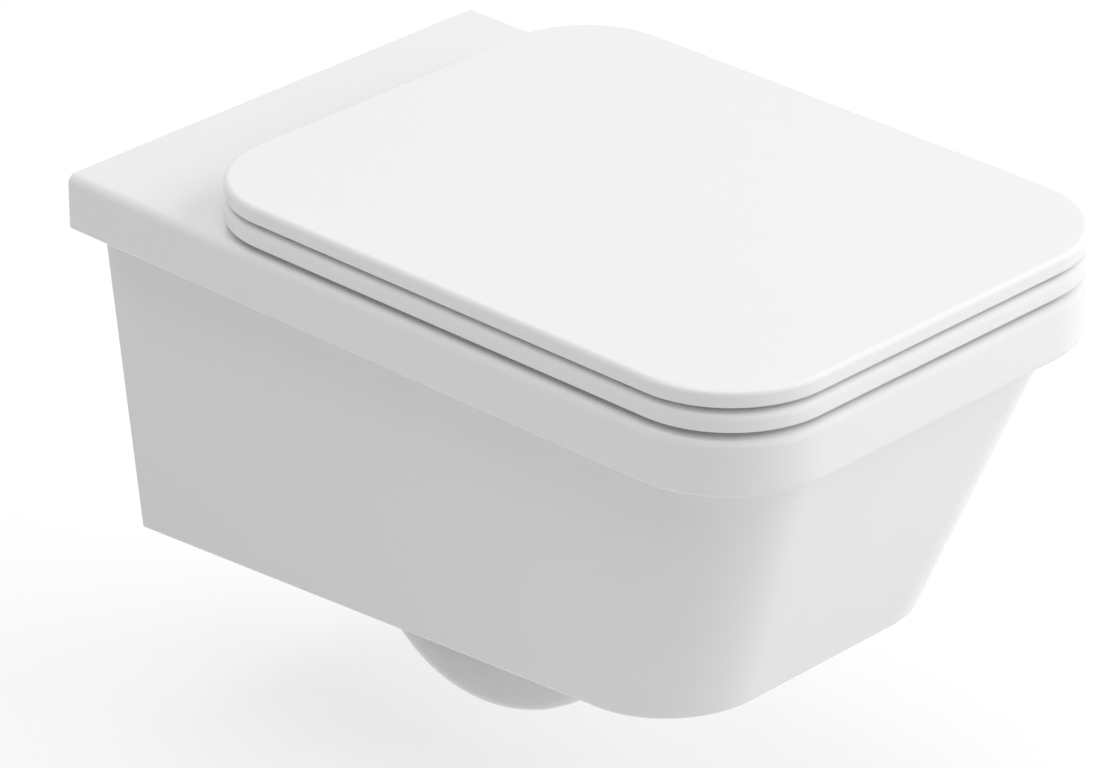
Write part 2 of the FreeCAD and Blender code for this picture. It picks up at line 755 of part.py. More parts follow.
def two_flats(name, x_range, clearance="0"):
    """Rod on the hinge axis with a flat above and a flat below."""
    half = f"size.shaft_flats / 2 + {clearance}"
    item = doc.addObject("Part::Common", name)
    item.Base = axis_rod(name + "_round", f"size.shaft_radius + {clearance}", x_range)
    item.Tool = block(name + "_flats", x_range, depths("size.axis_depth - size.barrel_radius",
                                                       "size.axis_depth + size.barrel_radius"),
                      (f"{AXIS} - ({half})", f"{AXIS} + {half}"))
    return item


for side_name, damped, damper_end, plain, pin_end in HINGES:
    side = SIDES[side_name]
    node(hinge_body(side_name, side, damper_end, pin_end), f"hinge_body_{side_name}")
    damper = axis_rod(f"damper_{side_name}", "size.damper_radius",
                      barrel_range(side, damper_end, "size.damper_inset", DAMPER_DEPTH))
    node(damper, f"{damped}_damper")
    node(two_flats(f"shaft_{side_name}", barrel_range(side, damper_end, SHAFT_TIP, "size.damper_inset")),
         f"{damped}_damper_shaft")
    pin_range = barrel_range(side, pin_end, SHAFT_TIP, "size.pin_socket")
    node(axis_rod(f"pin_{side_name}", "size.shaft_radius", pin_range), f"{plain}_pivot_pin")


# Hinge fastening through the deck

def hinge_foot(side_name, side):
    blank = hinge_rod(f"foot_blank_{side_name}", side, "size.hinge_foot", DECK, FOOT_TOP)
    disc = rounded(f"foot_disc_{side_name}", blank, [(at_height(FOOT_TOP), "size.hinge_foot_round")])
    hole = hinge_rod(f"foot_hole_{side_name}", side, BOLT_HOLE, DECK, FOOT_TOP)
    return cut(f"foot_{side_name}", disc, [hole])


def hinge_bolt(side_name, side):
    """Socket head bolt: the head stands on the foot disc inside the hinge post."""
    head_top = f"{FOOT_TOP} + size.bolt_head_height"
    head = hinge_rod(f"bolt_head_{side_name}", side, "size.bolt_head", FOOT_TOP, head_top)
    tip = f"{FOOT_TOP} - size.bolt_length"
    shank = hinge_rod(f"bolt_shank_{side_name}", side, "size.bolt_radius", tip, FOOT_TOP)
    key = doc.addObject("Part::Prism", f"bolt_key_{side_name}")
    key.Polygon = 6
    bind(key, {"Circumradius": "size.bolt_socket", "Height": "size.bolt_socket_depth"})
    place(key, *over_hinge_hole(side, f"{head_top} - size.bolt_socket_depth"))
    return cut(f"bolt_{side_name}", fuse(f"bolt_blank_{side_name}", [head, shank]), [key])


def hinge_grip(side_name, side):
    """Rubber sleeve in the deck hole, swollen below the deck where the nut has drawn it up."""
    swell_top = f"{DECK_UNDERSIDE} - size.grip_clearance"
    tube = hinge_rod(f"grip_tube_{side_name}", side, GRIP_RADIUS, GRIP_FOOT, DECK)
    half_height = f"(({swell_top}) - ({GRIP_FOOT})) / 2"
    cones = []
    for part, low, wide_at_top in (("low", GRIP_FOOT, True), ("high", f"{GRIP_FOOT} + {half_height}", False)):
        cone = doc.addObject("Part::Cone", f"grip_{part}_{side_name}")
        ends = ("Radius2", "Radius1") if wide_at_top else ("Radius1", "Radius2")
        bind(cone, {ends[0]: "size.grip_swell", ends[1]: GRIP_RADIUS, "Height": half_height})
        cones.append(place(cone, *over_hinge_hole(side, low)))
    bore = hinge_rod(f"grip_bore_{side_name}", side, BOLT_HOLE, GRIP_FOOT, DECK)
    return cut(f"grip_{side_name}", fuse(f"grip_blank_{side_name}", [tube] + cones), [bore])


def hinge_nut(side_name, side):
    """Round nut, slim enough to pass down the deck hole."""
    low = f"{GRIP_FOOT} - size.hinge_nut_length"
    blank = hinge_rod(f"hinge_nut_blank_{side_name}", side, GRIP_RADIUS, low, GRIP_FOOT)
    thread = "size.bolt_radius + size.press_clearance"
    bore = hinge_rod(f"hinge_nut_bore_{side_name}", side, thread, low, GRIP_FOOT)
    return cut(f"hinge_nut_{side_name}", blank, [bore])


for label, make in (("hinge_feet", hinge_foot), ("hinge_bolts", hinge_bolt),
                    ("hinge_grips", hinge_grip), ("hinge_nuts", hinge_nut)):
    node(group(f"{label}_pair", [make(side_name, side) for side_name, side in SIDES.items()]), label)


# Seat and lid

HINGE_ROOM = depths("size.cover_rear", f"{POST_FRONT} + size.foot_clearance")
SEAT_LUG = (SEAT_LUG_NEAR, SEAT_LUG_FAR)
LID_LUG = (LID_LUG_NEAR, LID_LUG_FAR)
LID_BUFFER_X = "size.cover_half_width - (size.lid_border + size.lid_low_round) / 2"


def cover_block(name, underside, thickness, inset="0"):
    """Plate with the outline that the seat and the lid share, made smaller all round by an inset."""
    sketch = outline(f"{name}_outline", f"size.cover_half_width - {inset}", f"size.cover_rear + {inset}",
                     f"size.cover_front - {inset}", f"size.cover_front_corner - {inset}", underside,
                     f"size.cover_rear_corner - {inset}")
    return prism(name, sketch, thickness)


def lug(name, side, lug_range):
    return axis_rod(name, "size.barrel_radius", across(side, *lug_range))


def lug_bore(name, side, lug_range, has_flats):
    """Hole through a lug: with flats for a damper shaft, round with a running fit for a pin."""
    x_range = across(side, *lug_range)
    if has_flats:
        return two_flats(name, x_range, "size.press_clearance")
    return axis_rod(name, "size.shaft_radius + size.running_clearance", x_range)


def seat_ring():
    plate = cover_block("seat_block", SEAT_UNDERSIDE, "size.seat_thickness")
    hole_outline = outline("seat_hole_outline", "size.seat_hole_half_width", "size.seat_hole_rear",
                           "size.seat_hole_front", "size.seat_hole_front_corner", SEAT_UNDERSIDE,
                           "size.seat_hole_rear_corner")
    ring = cut("seat_blank", plate, [prism("seat_hole", hole_outline, "size.seat_thickness")])
    soft = rounded("seat_soft", ring, [(at_height(SEAT_TOP), "size.seat_top_round"),
                                       (at_height(SEAT_UNDERSIDE), "size.seat_low_round")])
    trims = [block("seat_trim", ("-size.cover_half_width", "size.cover_half_width"),
                   depths("size.cover_rear", "size.seat_rear"), (SEAT_UNDERSIDE, SEAT_TOP))]
    lugs = []
    bores = []
    for side_name, damped, _, _, _ in HINGES:
        side = SIDES[side_name]
        trims.append(block(f"seat_notch_{side_name}",
                           across(side, SEAT_LUG_FAR, f"{LID_LUG_FAR} + size.swing_clearance"),
                           HINGE_ROOM, (SEAT_UNDERSIDE, SEAT_TOP)))
        lugs.append(lug(f"seat_lug_{side_name}", side, SEAT_LUG))
        lugs.append(block(f"seat_web_{side_name}", across(side, *SEAT_LUG),
                          depths("size.axis_depth", "size.axis_depth + size.seat_lug_root"),
                          (f"{SEAT_TOP} - size.seat_top_round", AXIS)))
        bores.append(lug_bore(f"seat_bore_{side_name}", side, SEAT_LUG, damped == "seat"))
    trimmed = cut("seat_trimmed", soft, trims)
    return cut("seat", fuse("seat_with_lugs", [trimmed] + lugs), bores)


def lid():
    plate = cover_block("lid_block", LID_UNDERSIDE, "size.lid_thickness")
    soft = rounded("lid_soft", plate, [(at_height(LID_TOP), "size.lid_top_round"),
                                       (at_height(LID_UNDERSIDE), "size.lid_low_round")])
    hollow = cover_block("lid_hollow", LID_UNDERSIDE, "size.lid_thickness - size.lid_skin", "size.lid_border")
    rooms = [hollow]
    lugs = []
    bores = []
    for side_name, damped, _, _, _ in HINGES:
        side = SIDES[side_name]
        rooms.append(block(f"lid_room_{side_name}",
                           across(side, f"{SEAT_LUG_NEAR} - size.swing_clearance", LID_LUG_NEAR),
                           HINGE_ROOM, (LID_UNDERSIDE, f"{LID_TOP} - size.hinge_cover")))
        lugs.append(lug(f"lid_lug_{side_name}", side, LID_LUG))
        bores.append(lug_bore(f"lid_bore_{side_name}", side, LID_LUG, damped == "lid"))
    hollowed = cut("lid_hollowed", soft, rooms)
    return cut("lid_body", fuse("lid_with_lugs", [hollowed] + lugs), bores)


def buffers(name, radius, half_spacing, rows, low, high):
    """Rubber pads, one on each side at each depth."""
    pads = []
    for row, depth in rows.items():
        for side_name, side in SIDES.items():
            start = (f"{side} * ({half_spacing})", f"-({depth})", low)
            blank = rod(f"{name}_{row}_{side_name}_blank", radius, start, f"({high}) - ({low})")
            pads.append(rounded(f"{name}_{row}_{side_name}", blank, [(at_height(low), "size.buffer_round")]))
    return group(name, pads)


node(seat_ring(), "seat_ring")
node(lid(), "lid")
node(
    buffers("seat_pads", "size.seat_buffer", "size.seat_buffer_half_spacing",
            {"rear": "size.seat_buffer_rear", "front": "size.seat_buffer_front"}, DECK, SEAT_UNDERSIDE),
    "seat_buffers",
)
node(
    buffers("lid_pads", "size.lid_buffer", LID_BUFFER_X,
            {"rear": "size.lid_buffer_rear", "front": "size.lid_buffer_front"}, SEAT_TOP, LID_UNDERSIDE),
    "lid_buffers",
)


# Test every object, then write one file for each sub-part
doc.recompute()
failed = [item.Name for item in doc.Objects if {"Invalid", "Error"} & set(item.State)]
for item in nodes:
    if item.Shape.isNull() or not item.Shape.isValid():
        failed.append(item.Label)
if failed:
    raise RuntimeError("failed objects: " + ", ".join(failed))
os.makedirs("parts", exist_ok=True)
for item in nodes:
    item.Shape.exportStep(f"parts/{item.Label}.step")
    print(f"{item.Label}: {len(item.Shape.Solids)} solids, {item.Shape.Volume / 1000:.1f} cm3")
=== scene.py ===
# %% [markdown]
# # A wall hung toilet in a white studio
#
# A wall hung toilet is one white ceramic casting that hangs on two studs in the wall. A plastic
# seat and lid lie on it, turned by a pair of hinges that the closed lid hides. The solids of
# every piece come from a CAD model, which is loaded first as a fixed frame. This lesson adds what
# the solids lack: the glaze, the plastics and metals, the small moulded pieces, and the studio.
# All lengths are metres. The wall is the plane y = 0, the pan reaches out along -Y, and +Z is up.

import json
import math

import bmesh
import bpy
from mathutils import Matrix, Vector


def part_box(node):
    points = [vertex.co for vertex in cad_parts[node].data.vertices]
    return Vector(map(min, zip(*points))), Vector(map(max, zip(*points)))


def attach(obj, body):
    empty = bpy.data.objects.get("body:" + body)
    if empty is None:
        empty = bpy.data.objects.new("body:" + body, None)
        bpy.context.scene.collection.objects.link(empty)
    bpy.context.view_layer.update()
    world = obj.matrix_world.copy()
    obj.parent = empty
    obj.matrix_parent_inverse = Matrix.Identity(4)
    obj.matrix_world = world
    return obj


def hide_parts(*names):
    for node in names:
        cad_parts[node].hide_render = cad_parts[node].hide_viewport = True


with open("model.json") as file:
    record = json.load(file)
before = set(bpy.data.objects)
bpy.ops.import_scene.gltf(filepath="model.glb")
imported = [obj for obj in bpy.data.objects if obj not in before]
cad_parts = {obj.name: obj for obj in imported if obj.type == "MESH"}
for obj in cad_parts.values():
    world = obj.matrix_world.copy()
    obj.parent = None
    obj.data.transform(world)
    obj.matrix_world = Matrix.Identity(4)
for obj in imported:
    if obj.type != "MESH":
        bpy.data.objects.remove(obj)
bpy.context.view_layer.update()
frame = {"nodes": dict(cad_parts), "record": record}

# %% [markdown]
# ## Camera
#
# The picture is taken from the left and above, through a long lens from about four metres. Long
# lenses keep parallel edges nearly parallel, which is why the rim's edges hardly converge. The
# camera could be turned by hand with three angles, but a direction to look along is easier to
# read. The camera looks along its own -Z axis, so `to_track_quat` turns that direction into angles.

# %% Camera
CAMERA_PLACE = Vector((-2.5402, -2.6916, 1.7506))
CAMERA_LOOK = Vector((0.6422, 0.6179, -0.4537))
FOCAL_LENGTH_MM = 205.16
SENSOR_WIDTH_MM = 36
FARTHEST_SEEN = 60

lens = bpy.data.cameras.new("studio_camera")
lens.lens = FOCAL_LENGTH_MM
lens.sensor_width = SENSOR_WIDTH_MM
lens.clip_end = FARTHEST_SEEN
camera = bpy.data.objects.new("studio_camera", lens)
camera.location = CAMERA_PLACE
camera.rotation_euler = CAMERA_LOOK.to_track_quat("-Z", "Y").to_euler()
bpy.context.scene.collection.objects.link(camera)
bpy.context.scene.camera = camera
print("camera looks down by", round(math.degrees(math.asin(-CAMERA_LOOK.z)), 1), "degrees")

# %% [markdown]
# ## Two tools for node recipes
#
# The floor, the surround and every finish are recipes of nodes: boxes that pass numbers and colours
# to each other along links. Two boxes come back all the time, so each gets a helper. One does a step
# of arithmetic, and the other stretches a range of numbers over another range.

# %% Two tools for node recipes
NOISE_LOW = 0.3
NOISE_HIGH = 0.7


def calculate(tree, operation, first, second):
    """One step of arithmetic on two amounts, each a number or the output of a node."""
    step = tree.nodes.new("ShaderNodeMath")
    step.operation = operation
    for socket, amount in zip(step.inputs, (first, second)):
        if isinstance(amount, (int, float)):
            socket.default_value = amount
        else:
            tree.links.new(amount, socket)
    return step.outputs[0]


def spread(tree, amount, low, high, start=NOISE_LOW, end=NOISE_HIGH):
    """Turn start..end into low..high. Most noise lies between the two default values."""
    span = tree.nodes.new("ShaderNodeMapRange")
    span.inputs["From Min"].default_value = start
    span.inputs["From Max"].default_value = end
    span.inputs["To Min"].default_value = low
    span.inputs["To Max"].default_value = high
    tree.links.new(amount, span.inputs["Value"])
    return span.outputs["Result"]


print("noise is read from", NOISE_LOW, "to", NOISE_HIGH)

# %% [markdown]
# ## Floor
#
# The pan hangs, so the floor is not where the ceramic ends: it lies 400 mm under the deck, as it
# does in a bathroom. A large disc is enough, because the long lens sees little of it. Its paint is
# plain and pale. To the camera and to reflections it also glows a little, which takes it to white
# without putting more light on the object, and the object's soft shadow still falls on it. Farther
# out it fades into the white surround, so that no horizon shows in the low views.

# %% Floor
FLOOR_LEVEL = -0.32
FLOOR_RADIUS = 9.0
FLOOR_SEGMENTS = 96
FLOOR_PAINT = 0.80
FLOOR_SEEN = 0.42
FLOOR_GLOW = 0.63
FADE_START = 1.2
FADE_END = 4.0


def seen_directly(tree):
    """1 for the camera, mirrors and glass, 0 for light that bounces."""
    path = tree.nodes.new("ShaderNodeLightPath").outputs
    mirrors = calculate(tree, "MAXIMUM", path["Is Glossy Ray"], path["Is Transmission Ray"])
    return calculate(tree, "MAXIMUM", path["Is Camera Ray"], mirrors)


def floor_paint():
    paint = bpy.data.materials.new("floor_paint")
    paint.use_nodes = True
    tree = paint.node_tree
    tree.nodes.clear()
    seen = seen_directly(tree)
    matt = tree.nodes.new("ShaderNodeBsdfDiffuse")
    tree.links.new(spread(tree, seen, FLOOR_PAINT, FLOOR_SEEN, 0, 1), matt.inputs["Color"])
    glow = tree.nodes.new("ShaderNodeEmission")
    tree.links.new(calculate(tree, "MULTIPLY", seen, FLOOR_GLOW), glow.inputs["Strength"])
    near = tree.nodes.new("ShaderNodeAddShader")
    tree.links.new(matt.outputs[0], near.inputs[0])
    tree.links.new(glow.outputs[0], near.inputs[1])
    reach = tree.nodes.new("ShaderNodeVectorMath")
    reach.operation = "LENGTH"
    tree.links.new(tree.nodes.new("ShaderNodeTexCoord").outputs["Object"], reach.inputs[0])
    fade = spread(tree, reach.outputs["Value"], 0, 1, FADE_START, FADE_END)
    white = tree.nodes.new("ShaderNodeEmission")
    blend = tree.nodes.new("ShaderNodeMixShader")
    tree.links.new(calculate(tree, "MULTIPLY", fade, seen), blend.inputs["Fac"])
    tree.links.new(near.outputs[0], blend.inputs[1])
    tree.links.new(white.outputs[0], blend.inputs[2])
    output = tree.nodes.new("ShaderNodeOutputMaterial")
    tree.links.new(blend.outputs[0], output.inputs["Surface"])
    return paint


def add_object(name, shape):
    """Turn a bmesh into an object of the scene."""
    mesh = bpy.data.meshes.new(name)
    shape.to_mesh(mesh)
    shape.free()
    made = bpy.data.objects.new(name, mesh)
    bpy.context.scene.collection.objects.link(made)
    return made


disc = bmesh.new()
bmesh.ops.create_circle(disc, cap_ends=True, segments=FLOOR_SEGMENTS, radius=FLOOR_RADIUS)
bmesh.ops.translate(disc, verts=disc.verts, vec=(0, 0, FLOOR_LEVEL))
floor = add_object("studio_floor", disc)
floor.data.materials.append(floor_paint())
print("floor at", FLOOR_LEVEL)

# %% [markdown]
# ## Light
#
# White glaze shows every lamp as a reflection, so the studio uses few lamps and large ones, over four
# metres wide, whose reflections stay faint: an even white surround that fills all sides, one soft box
# overhead that lifts the lid and the deck, and one in front on the right that lights the front more than
# the left side. That difference draws the body's edges. Seen from behind, the flat lid would mirror the
# front box as a white glare, so that box is kept out of reflections. Mirrors and the camera see the
# surround as plain white, while its light on matt surfaces is set apart.

# %% Light
SURROUND = 0.418
BOX_AIM = Vector((0.0, -0.28, -0.05))
BOX_SIZE = 4.2
SOFT_BOXES = {
    "overhead_box": (Vector((-1.15, -0.08, 4.30)), 85, True),
    "front_box": (Vector((2.76, -3.04, 2.20)), 136, False),
}

surround = bpy.data.worlds.new("studio_surround")
surround.use_nodes = True
bpy.context.scene.world = surround
sky = surround.node_tree
background = sky.nodes["Background"]
background.inputs["Color"].default_value = (1, 1, 1, 1)
sky.links.new(spread(sky, seen_directly(sky), SURROUND, 1, 0, 1), background.inputs["Strength"])

for name, (spot, watts, in_reflections) in SOFT_BOXES.items():
    lamp = bpy.data.lights.new(name, "AREA")
    lamp.size = BOX_SIZE
    lamp.energy = watts
    box = bpy.data.objects.new(name, lamp)
    box.location = spot
    box.visible_glossy = in_reflections
    box.rotation_euler = (BOX_AIM - spot).to_track_quat("-Z", "Y").to_euler()
    bpy.context.scene.collection.objects.link(box)
    print(name, "at", round((BOX_AIM - spot).length, 2), "m")
bpy.context.scene.view_settings.view_transform = "Standard"

# %% [markdown]
# ## Tools for the finishes
#
# Every finish below is one Principled shader whose sockets are fed by a few textures. They are read
# at Object coordinates, which are the part's own metres, so a noise with 600 marks to the metre has
# marks of about 1.7 mm. Painted image maps would be another way, but noise needs no unwrapping and
# stays sharp at any distance. Small helpers keep the recipes short: one makes the noise, one turns
# it into a range of colours, and one into bumps of a given height.

# %% Tools for the finishes
EVEN = (1, 1, 1)
SMOOTH, PLAIN, MIXED, BUSY, RAGGED = 1, 2, 3, 4, 6


def new_finish(name):
    """An empty recipe: the material, its node tree and its shader."""
    material = bpy.data.materials.new(name)
    material.use_nodes = True
    return material, material.node_tree, material.node_tree.nodes["Principled BSDF"]


def places(tree, stretch=EVEN):
    """The part's own coordinates, squeezed along an axis to draw marks out along it."""
    spot = tree.nodes.new("ShaderNodeTexCoord").outputs["Object"]
    if stretch == EVEN:
        return spot
    squeeze = tree.nodes.new("ShaderNodeMapping")
    squeeze.inputs["Scale"].default_value = stretch
    tree.links.new(spot, squeeze.inputs["Vector"])
    return squeeze.outputs["Vector"]


def grain(tree, marks_per_metre, detail=PLAIN, stretch=EVEN):
    """Noise from 0 to 1. The detail counts how many layers of ever finer marks it has."""
    noise = tree.nodes.new("ShaderNodeTexNoise")
    noise.inputs["Scale"].default_value = marks_per_metre
    noise.inputs["Detail"].default_value = detail
    tree.links.new(places(tree, stretch), noise.inputs["Vector"])
    return noise.outputs["Fac"]


def tint(tree, amount, first, second):
    """Colour between two, each given as a colour or as the output of another tint."""
    blend = tree.nodes.new("ShaderNodeMix")
    blend.data_type = "RGBA"
    factor, first_colour, second_colour = blend.inputs[0], blend.inputs[6], blend.inputs[7]
    result = blend.outputs[2]
    tree.links.new(amount, factor)
    for socket, colour in ((first_colour, first), (second_colour, second)):
        if isinstance(colour, tuple):
            socket.default_value = (*colour, 1)
        else:
            tree.links.new(colour, socket)
    return result


def relief(tree, shader, *layers):
    """Bumps on the surface: each layer is a 0..1 height and the metres that 1 stands for."""
    normal = None
    for height, metres in layers:
        bump = tree.nodes.new("ShaderNodeBump")
        bump.inputs["Strength"].default_value = 1.0
        bump.inputs["Distance"].default_value = metres
        tree.links.new(height, bump.inputs["Height"])
        if normal is not None:
            tree.links.new(normal, bump.inputs["Normal"])
        normal = bump.outputs["Normal"]
    tree.links.new(normal, shader.inputs["Normal"])


finishes = {}

# %% [markdown]
# ## Glazed ceramic
#
# The pan is slip cast clay under a white glaze. Glaze is glass: it is smooth and shiny, but it has
# flowed, so its reflections waver over some centimetres and shiver slightly over a millimetre or two,
# and it is a hair darker where it pooled. The face against the wall is ground flat after firing and
# shows the bare clay, which is creamy and matt, with the belt's short marks across it. A second
# material would need that face picked out by hand. It lies at y = 0, so a mask on the Y coordinate
# finds it, and noise on the mask makes the glaze stop unevenly.

# %% Glazed ceramic
GLAZE_THIN = (0.872, 0.872, 0.870)
GLAZE_POOLED = (0.848, 0.850, 0.850)
GLAZE_SHINE = (0.05, 0.10)
POOLS_PER_METRE = 9
SHINE_PER_METRE = 35
WAVER_PER_METRE = 26
WAVER_HEIGHT = 0.00010
SHIVER_PER_METRE = 620
SHIVER_HEIGHT = 0.000004
BARE_CLAY = (0.875, 0.860, 0.815)
BARE_CLAY_DARK = (0.815, 0.795, 0.745)
BARE_CLAY_ROUGHNESS = 0.85
BELT_MARKS_PER_METRE = 800
BELT_STRETCH = (0.22, 1, 1)
GROUND_EDGE = 0.0006
RAGS_PER_METRE = 180


def bare_clay_mask(tree):
    """1 on the ground face against the wall, 0 where the glaze is."""
    axes = tree.nodes.new("ShaderNodeSeparateXYZ")
    tree.links.new(places(tree), axes.inputs["Vector"])
    rags = spread(tree, grain(tree, RAGS_PER_METRE), -GROUND_EDGE / 2, GROUND_EDGE / 2)
    ragged = calculate(tree, "ADD", axes.outputs["Y"], rags)
    return spread(tree, ragged, 0, 1, -GROUND_EDGE, -GROUND_EDGE / 2)


def white_glaze():
    material, tree, shader = new_finish("white_glaze")
    bare = bare_clay_mask(tree)
    belt = spread(tree, grain(tree, BELT_MARKS_PER_METRE, RAGGED, BELT_STRETCH), 0, 1)
    glaze = tint(tree, grain(tree, POOLS_PER_METRE), GLAZE_POOLED, GLAZE_THIN)
    clay = tint(tree, belt, BARE_CLAY_DARK, BARE_CLAY)
    tree.links.new(tint(tree, bare, glaze, clay), shader.inputs["Base Color"])
    shine = spread(tree, grain(tree, SHINE_PER_METRE), *GLAZE_SHINE)
    dull = spread(tree, bare, 0, BARE_CLAY_ROUGHNESS, 0, 1)
    tree.links.new(calculate(tree, "MAXIMUM", shine, dull), shader.inputs["Roughness"])
    relief(tree, shader, (grain(tree, WAVER_PER_METRE, SMOOTH), WAVER_HEIGHT),
           (grain(tree, SHIVER_PER_METRE, SMOOTH), SHIVER_HEIGHT))
    return material


finishes["ceramic"] = white_glaze()
print("glaze stops", GROUND_EDGE * 1000, "mm from the wall")

# %% [markdown]
# ## Polished seat plastic
#
# Seat and lid are pressed from a hard white resin and buffed on a wheel. They are as white as the
# glaze but a little softer in their shine, and the buffing leaves faint marks that run along the
# length of the seat. Squeezing the noise's coordinates along Y draws its marks out in that direction,
# which is simpler than a shader with an anisotropic shine and still shows from close by.

# %% Polished seat plastic
COVER_WHITE = (0.872, 0.872, 0.870)
COVER_SHADE = (0.858, 0.858, 0.857)
COVER_SHINE = (0.13, 0.21)
COVER_CLOUDS_PER_METRE = 7
PRESS_WAVES_PER_METRE = 12
PRESS_WAVE_HEIGHT = 0.00006
BUFFING_PER_METRE = 420
BUFFING_STRETCH = (1, 0.03, 1)
BUFFING_HEIGHT = 0.000002


def polished_cover():
    material, tree, shader = new_finish("polished_cover")
    clouds = grain(tree, COVER_CLOUDS_PER_METRE)
    tree.links.new(tint(tree, clouds, COVER_SHADE, COVER_WHITE), shader.inputs["Base Color"])
    buffed = grain(tree, BUFFING_PER_METRE, MIXED, BUFFING_STRETCH)
    tree.links.new(spread(tree, buffed, *COVER_SHINE), shader.inputs["Roughness"])
    relief(tree, shader, (grain(tree, PRESS_WAVES_PER_METRE, SMOOTH), PRESS_WAVE_HEIGHT),
           (buffed, BUFFING_HEIGHT))
    return material


finishes["cover"] = polished_cover()
print("buffing marks", round(1000 / BUFFING_PER_METRE, 1), "mm apart")

# %% [markdown]
# ## Moulded plastic
#
# The flush spreader, the dampers and the fixing sleeves are injection moulded. Their mould is eroded
# by sparks, which gives the plastic an even fine grain of a few tenths of a millimetre and a satin
# shine. Larger, fainter clouds of colour show where the plastic flowed. Only the colour differs from
# piece to piece, so one recipe serves both.

# %% Moulded plastic
PLASTIC_GREY = ((0.46, 0.47, 0.48), (0.52, 0.53, 0.54))
PLASTIC_WHITE = ((0.76, 0.76, 0.74), (0.82, 0.82, 0.80))
PLASTIC_SHINE = (0.36, 0.50)
FLOW_CLOUDS_PER_METRE = 45
SPARKS_PER_METRE = 2600
SPARK_HEIGHT = 0.000012


def moulded_plastic(name, shades):
    material, tree, shader = new_finish(name)
    eroded = grain(tree, SPARKS_PER_METRE)
    tree.links.new(tint(tree, grain(tree, FLOW_CLOUDS_PER_METRE), *shades), shader.inputs["Base Color"])
    tree.links.new(spread(tree, eroded, *PLASTIC_SHINE), shader.inputs["Roughness"])
    relief(tree, shader, (eroded, SPARK_HEIGHT))
    return material


finishes["grey_plastic"] = moulded_plastic("moulded_grey", PLASTIC_GREY)
finishes["white_plastic"] = moulded_plastic("moulded_white", PLASTIC_WHITE)
print("finishes so far:", len(finishes))

# %% [markdown]
# ## Rubber
#
# Rubber is matt because its skin is full of tiny pits, and with time a pale bloom of its own wax comes
# out on it in patches. The pits are too small to model, so they are fine noise in the bump, and the
# bloom is a broad noise in the colour.

# %% Rubber
RUBBER_BLACK = ((0.018, 0.018, 0.019), (0.050, 0.049, 0.048))
RUBBER_GREY = ((0.40, 0.40, 0.40), (0.50, 0.50, 0.49))
RUBBER_SHINE = (0.62, 0.84)
PITS_PER_METRE = 1800
PIT_DEPTH = 0.00003
BLOOM_PER_METRE = 130


def pitted_rubber(name, shades):
    material, tree, shader = new_finish(name)
    pits = grain(tree, PITS_PER_METRE, BUSY)
    bloom = grain(tree, BLOOM_PER_METRE, BUSY)
    tree.links.new(tint(tree, bloom, *shades), shader.inputs["Base Color"])
    tree.links.new(spread(tree, pits, *RUBBER_SHINE), shader.inputs["Roughness"])
    relief(tree, shader, (pits, PIT_DEPTH))
    return material


finishes["black_rubber"] = pitted_rubber("black_rubber", RUBBER_BLACK)
finishes["grey_rubber"] = pitted_rubber("grey_rubber", RUBBER_GREY)
print("finishes so far:", len(finishes))

# %% [markdown]
# ## Metals
#
# The hinges are chromed and polished, the pins, bolts and washers are zinc plated, and the small nuts
# that draw up the rubber grips are turned brass. Chrome is nearly a mirror with hairline scratches.
# Zinc is satin, and its passivation tints it bluish in some places and yellowish in others. Turning
# leaves rings round the brass, which a wave texture with bands along Z draws a quarter of a millimetre
# apart: the wave's angle is 20 times its scale, so the scale is a full turn over 20 spacings.

# %% Metals
CHROME = ((0.70, 0.71, 0.73), (0.78, 0.78, 0.79))
CHROME_SHINE = (0.05, 0.16)
HAIRLINES_PER_METRE = 700
HAIRLINE_DEPTH = 0.000002
ZINC = ((0.56, 0.59, 0.64), (0.68, 0.66, 0.60))
ZINC_SHINE = (0.26, 0.44)
ZINC_MARKS_PER_METRE = 1500
ZINC_MARK_DEPTH = 0.000006
PLATING_CLOUDS_PER_METRE = 90
SCRATCH_STRETCH = (1, 0.05, 0.4)
BRASS = ((0.62, 0.45, 0.20), (0.76, 0.60, 0.32))
BRASS_SHINE = (0.20, 0.34)
TARNISH_PER_METRE = 160
HANDLING_PER_METRE = 300
TURNING_PITCH = 0.00025
TURNING_DEPTH = 0.000010
WAVE_FACTOR = 20


def plated_metal(name, shades, shine, scratches_per_metre, scratch_depth):
    material, tree, shader = new_finish(name)
    shader.inputs["Metallic"].default_value = 1.0
    scratches = grain(tree, scratches_per_metre, BUSY, SCRATCH_STRETCH)
    clouds = grain(tree, PLATING_CLOUDS_PER_METRE, MIXED)
    tree.links.new(tint(tree, clouds, *shades), shader.inputs["Base Color"])
    tree.links.new(spread(tree, scratches, *shine), shader.inputs["Roughness"])
    relief(tree, shader, (scratches, scratch_depth))
    return material


def turned_brass():
    material, tree, shader = new_finish("turned_brass")
    shader.inputs["Metallic"].default_value = 1.0
    rings = tree.nodes.new("ShaderNodeTexWave")
    rings.bands_direction = "Z"
    rings.inputs["Scale"].default_value = math.tau / (WAVE_FACTOR * TURNING_PITCH)
    tree.links.new(places(tree), rings.inputs["Vector"])
    tarnish = grain(tree, TARNISH_PER_METRE, MIXED)
    tree.links.new(tint(tree, tarnish, *BRASS), shader.inputs["Base Color"])
    handling = grain(tree, HANDLING_PER_METRE)
    tree.links.new(spread(tree, handling, *BRASS_SHINE), shader.inputs["Roughness"])
    relief(tree, shader, (rings.outputs["Fac"], TURNING_DEPTH))
    return material


